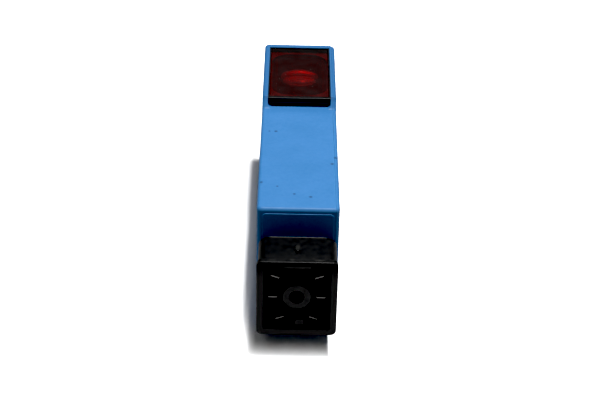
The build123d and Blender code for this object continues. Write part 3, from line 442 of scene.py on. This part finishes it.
# ---------------------------------------------------------------- thread in the plug
def threaded_insert():
    """A knurled brass insert with an M3 thread cut in its bore, in the CAD insert's place."""
    low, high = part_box("threaded_insert")
    middle_x = (low[0] + high[0]) / 2
    middle_z = (low[2] + high[2]) / 2
    length = high[1] - low[1]
    outer = (high[0] - low[0]) / 2
    crest = 1.25 * MM
    root = 1.5 * MM
    pitch = 0.5 * MM
    knurl_depth = 0.06 * MM
    around = 48
    per_pitch = 6
    rings = round(length / pitch * per_pitch)
    points = []
    faces = []

    def ring_of_points(ring, radius_at):
        for step in range(around):
            angle = math.tau * step / around
            radius = radius_at(step)
            points.append((middle_x + radius * math.cos(angle), low[1] + length * ring / rings,
                           middle_z + radius * math.sin(angle)))

    def thread_radius(ring, step):
        turn = (ring / per_pitch + step / around) % 1.0
        return crest + (root - crest) * (1 - abs(2 * turn - 1))

    def knurled_radius(step):
        return outer - (knurl_depth if step % 2 else 0.0)

    for ring in range(rings + 1):
        ring_of_points(ring, lambda step: thread_radius(ring, step))
    near = len(points)
    far = near + around
    for ring in (0, rings):
        ring_of_points(ring, knurled_radius)
    last = rings * around
    for step in range(around):
        beside = (step + 1) % around
        for ring in range(rings):
            here = ring * around
            ahead = here + around
            faces.append((here + step, here + beside, ahead + beside, ahead + step))
        faces.append((near + step, far + step, far + beside, near + beside))
        faces.append((step, near + step, near + beside, beside))
        faces.append((last + beside, far + beside, far + step, last + step))

    mesh = bpy.data.meshes.new("insert_thread")
    mesh.from_pydata(points, [], faces)
    shape = bmesh.new()
    shape.from_mesh(mesh)
    bmesh.ops.recalc_face_normals(shape, faces=shape.faces)
    shape.to_mesh(mesh)
    shape.free()
    piece = bpy.data.objects.new("insert_thread", mesh)
    bpy.context.scene.collection.objects.link(piece)
    mesh.materials.append(metal_look("thread_brass", (0.60, 0.42, 0.16), 0.3).material)
    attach(piece, "sensor")
    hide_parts("threaded_insert")
    return piece


insert = threaded_insert()

# ---------------------------------------------------------------- camera
# Close to straight along the sensor from its plug end, looking down at it.
camera_place = Vector((-2.19, -293.6, 192.7)) * MM
camera_pitch = math.radians(31.407)
camera_yaw = math.radians(-0.541)
camera_roll = math.radians(1.354)
camera_lens = 87.68


def aim(pitch, yaw, roll):
    """The camera's axes from its angle below the horizon, its turn and its roll."""
    forward = Vector((-math.sin(yaw) * math.cos(pitch), math.cos(yaw) * math.cos(pitch),
                      -math.sin(pitch)))
    right = Vector((math.cos(yaw), math.sin(yaw), 0))
    up = right.cross(forward)
    tilted_right = right * math.cos(roll) + up * math.sin(roll)
    tilted_up = up * math.cos(roll) - right * math.sin(roll)
    return Matrix((tilted_right, tilted_up, -forward)).transposed()


camera_data = bpy.data.cameras.new("camera")
camera_data.sensor_width = 36
camera_data.lens = camera_lens
camera = bpy.data.objects.new("camera", camera_data)
bpy.context.scene.collection.objects.link(camera)
camera.matrix_world = (Matrix.Translation(camera_place)
                       @ aim(camera_pitch, camera_yaw, camera_roll).to_4x4())
bpy.context.scene.camera = camera


# ---------------------------------------------------------------- floor and light
def level_sheet(name, height, grey):
    """A wide level sheet for the set, in one pale tone."""
    reach = 3.0
    mesh = bpy.data.meshes.new(name)
    mesh.from_pydata([(-reach, -reach, height), (reach, -reach, height), (reach, reach, height),
                      (-reach, reach, height)], [], [(0, 1, 2, 3)])
    sheet = bpy.data.objects.new(name, mesh)
    bpy.context.scene.collection.objects.link(sheet)
    look = Look(name, (grey, grey, grey), 0.9)
    look.set("Specular IOR Level", 0.0)
    mesh.materials.append(look.material)
    return sheet


# The floor is lit until it is plain white. A greyer sheet just under it, which the camera
# doesn't see, is what throws light back up onto the sensor.
floor_grey = 0.86
card_grey = 0.11
card_drop = 0.2 * MM
floor = level_sheet("floor", 0.0, floor_grey)
floor.visible_diffuse = False
floor.visible_glossy = False
floor.visible_shadow = False
card = level_sheet("bounce_card", -card_drop, card_grey)
card.visible_camera = False
card.visible_shadow = False


def light_group(name, pieces):
    """A collection that a light can be limited to."""
    group = bpy.data.collections.new(name)
    for piece in pieces:
        group.objects.link(piece)
    return group


black_pieces = ("plug_body", "plug_collar", "contact_carrier", "window_frame", *blades)
floor_only = light_group("lit_floor", (floor, card))
sensor_only = light_group("lit_sensor", (*nodes.values(), insert))
black_only = light_group("lit_black", (*(nodes[name] for name in black_pieces), insert))


def softbox(name, place, target, size, power, lights=None):
    """A rectangular area light aimed at a point, in metres and watts; it may light one group."""
    data = bpy.data.lights.new(name, "AREA")
    data.shape = "RECTANGLE"
    data.size = size[0]
    data.size_y = size[1]
    data.energy = power
    lamp = bpy.data.objects.new(name, data)
    bpy.context.scene.collection.objects.link(lamp)
    lamp.location = place
    lamp.rotation_euler = (Vector(target) - Vector(place)).to_track_quat("-Z", "Y").to_euler()
    if lights is not None:
        lamp.light_linking.receiver_collection = lights
        lamp.visible_glossy = False


# One softbox above and to the right lights everything. Strips in line with it light the floor
# alone, and dim towards the camera so that the shadow below the plug fades out.
light_height = 0.8
light_side = 0.104
light_width = 0.092
softbox("top_softbox", (light_side, -0.02, light_height), (light_side, -0.02, 0),
        (light_width, 0.20), 10.0)
softbox("rear_strip", (light_side, 0.07, light_height), (light_side, 0.07, 0),
        (light_width, 0.10), 6.0, floor_only)
strip_ends = (-0.03, -0.16, -0.30, -0.48, -0.75, -1.1)
strip_strengths = (0.9, 1.02, 0.92, 0.6, 0.22)
watts_per_metre = 16.0
for k, strength in enumerate(strip_strengths):
    near = strip_ends[k]
    far = strip_ends[k + 1]
    middle = (near + far) / 2
    length = near - far
    softbox("strip_%d" % (k + 1), (light_side, middle, light_height), (light_side, middle, 0),
            (light_width, length), watts_per_metre * strength * length, floor_only)
# dimmer light from nearly overhead and from the left, which softens the shadow's inner edge
softbox("inner_strip", (0.036, 0.0, light_height), (0.036, 0.0, 0), (0.055, 0.12), 1.1, floor_only)
softbox("left_soft", (-0.16, 0.0, light_height), (-0.16, 0, 0), (0.12, 0.6), 0.55, floor_only)
# soft fills that reach the sensor alone, so the floor stays clean
softbox("left_fill", (-0.9, 0.1, 0.25), (0, 0, 0.01), (0.6, 0.6), 2.0, sensor_only)
softbox("right_fill", (0.9, 0.2, 0.15), (0, 0, 0.01), (0.6, 0.6), 1.0, sensor_only)
softbox("front_bounce", (0.0, -0.8, -0.32), (0, 0, 0.015), (0.5, 0.3), 2.1, black_only)
softbox("back_fill", (0.0, 0.9, 0.62), (0, 0, 0.015), (0.6, 0.4), 3.0, sensor_only)

world_strength = 0.03
world = bpy.data.worlds.new("studio")
bpy.context.scene.world = world
world.use_nodes = True
world.node_tree.nodes["Background"].inputs["Color"].default_value = (1, 1, 1, 1)
world.node_tree.nodes["Background"].inputs["Strength"].default_value = world_strength

# a plain picture with its deepest tones taken down to black
black_level = 0.02
view = bpy.context.scene.view_settings
view.view_transform = "Standard"
view.use_curve_mapping = True
view.curve_mapping.black_level = (black_level, black_level, black_level)
view.curve_mapping.update()
